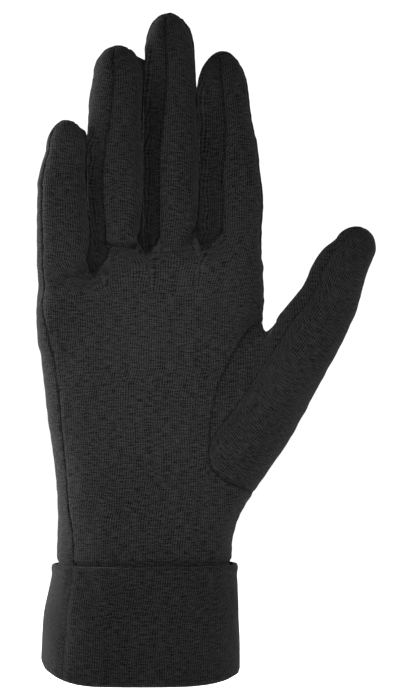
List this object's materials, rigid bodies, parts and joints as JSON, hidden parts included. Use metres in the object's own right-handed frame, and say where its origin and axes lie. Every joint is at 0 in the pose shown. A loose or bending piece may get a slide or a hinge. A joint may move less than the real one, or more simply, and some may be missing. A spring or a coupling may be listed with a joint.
{
  "type": "glove liner",
  "caption": "Thin knitted glove liner with side strips between the fingers, a set-in thumb and a turned-up cuff.",
  "frame": {"origin": "middle of the cuff's opening, in the plane of the hem's lowest points, where a hand goes in", "axes": "+Z towards the fingertips, +X towards the thumb, the palm faces -Y"},
  "size_m": [0.1263, 0.0504, 0.2493],
  "materials": {
    "palm_jersey": "charcoal melange single jersey knit, matt with a faint nap",
    "back_jersey": "charcoal melange single jersey knit, matt with a faint nap",
    "side_strip_jersey": "charcoal melange single jersey knit, matt with a faint nap",
    "thumb_jersey": "charcoal melange single jersey knit, matt with a faint nap",
    "cuff_jersey": "charcoal melange single jersey knit, matt with a faint nap"
  },
  "bodies": {
    "root": {"palm_panel": "palm_jersey", "back_panel": "back_jersey", "side_strip_little_ring": "side_strip_jersey", "side_strip_ring_middle": "side_strip_jersey", "side_strip_middle_index": "side_strip_jersey", "thumb": "thumb_jersey", "cuff": "cuff_jersey"}
  },
  "joints": []
}
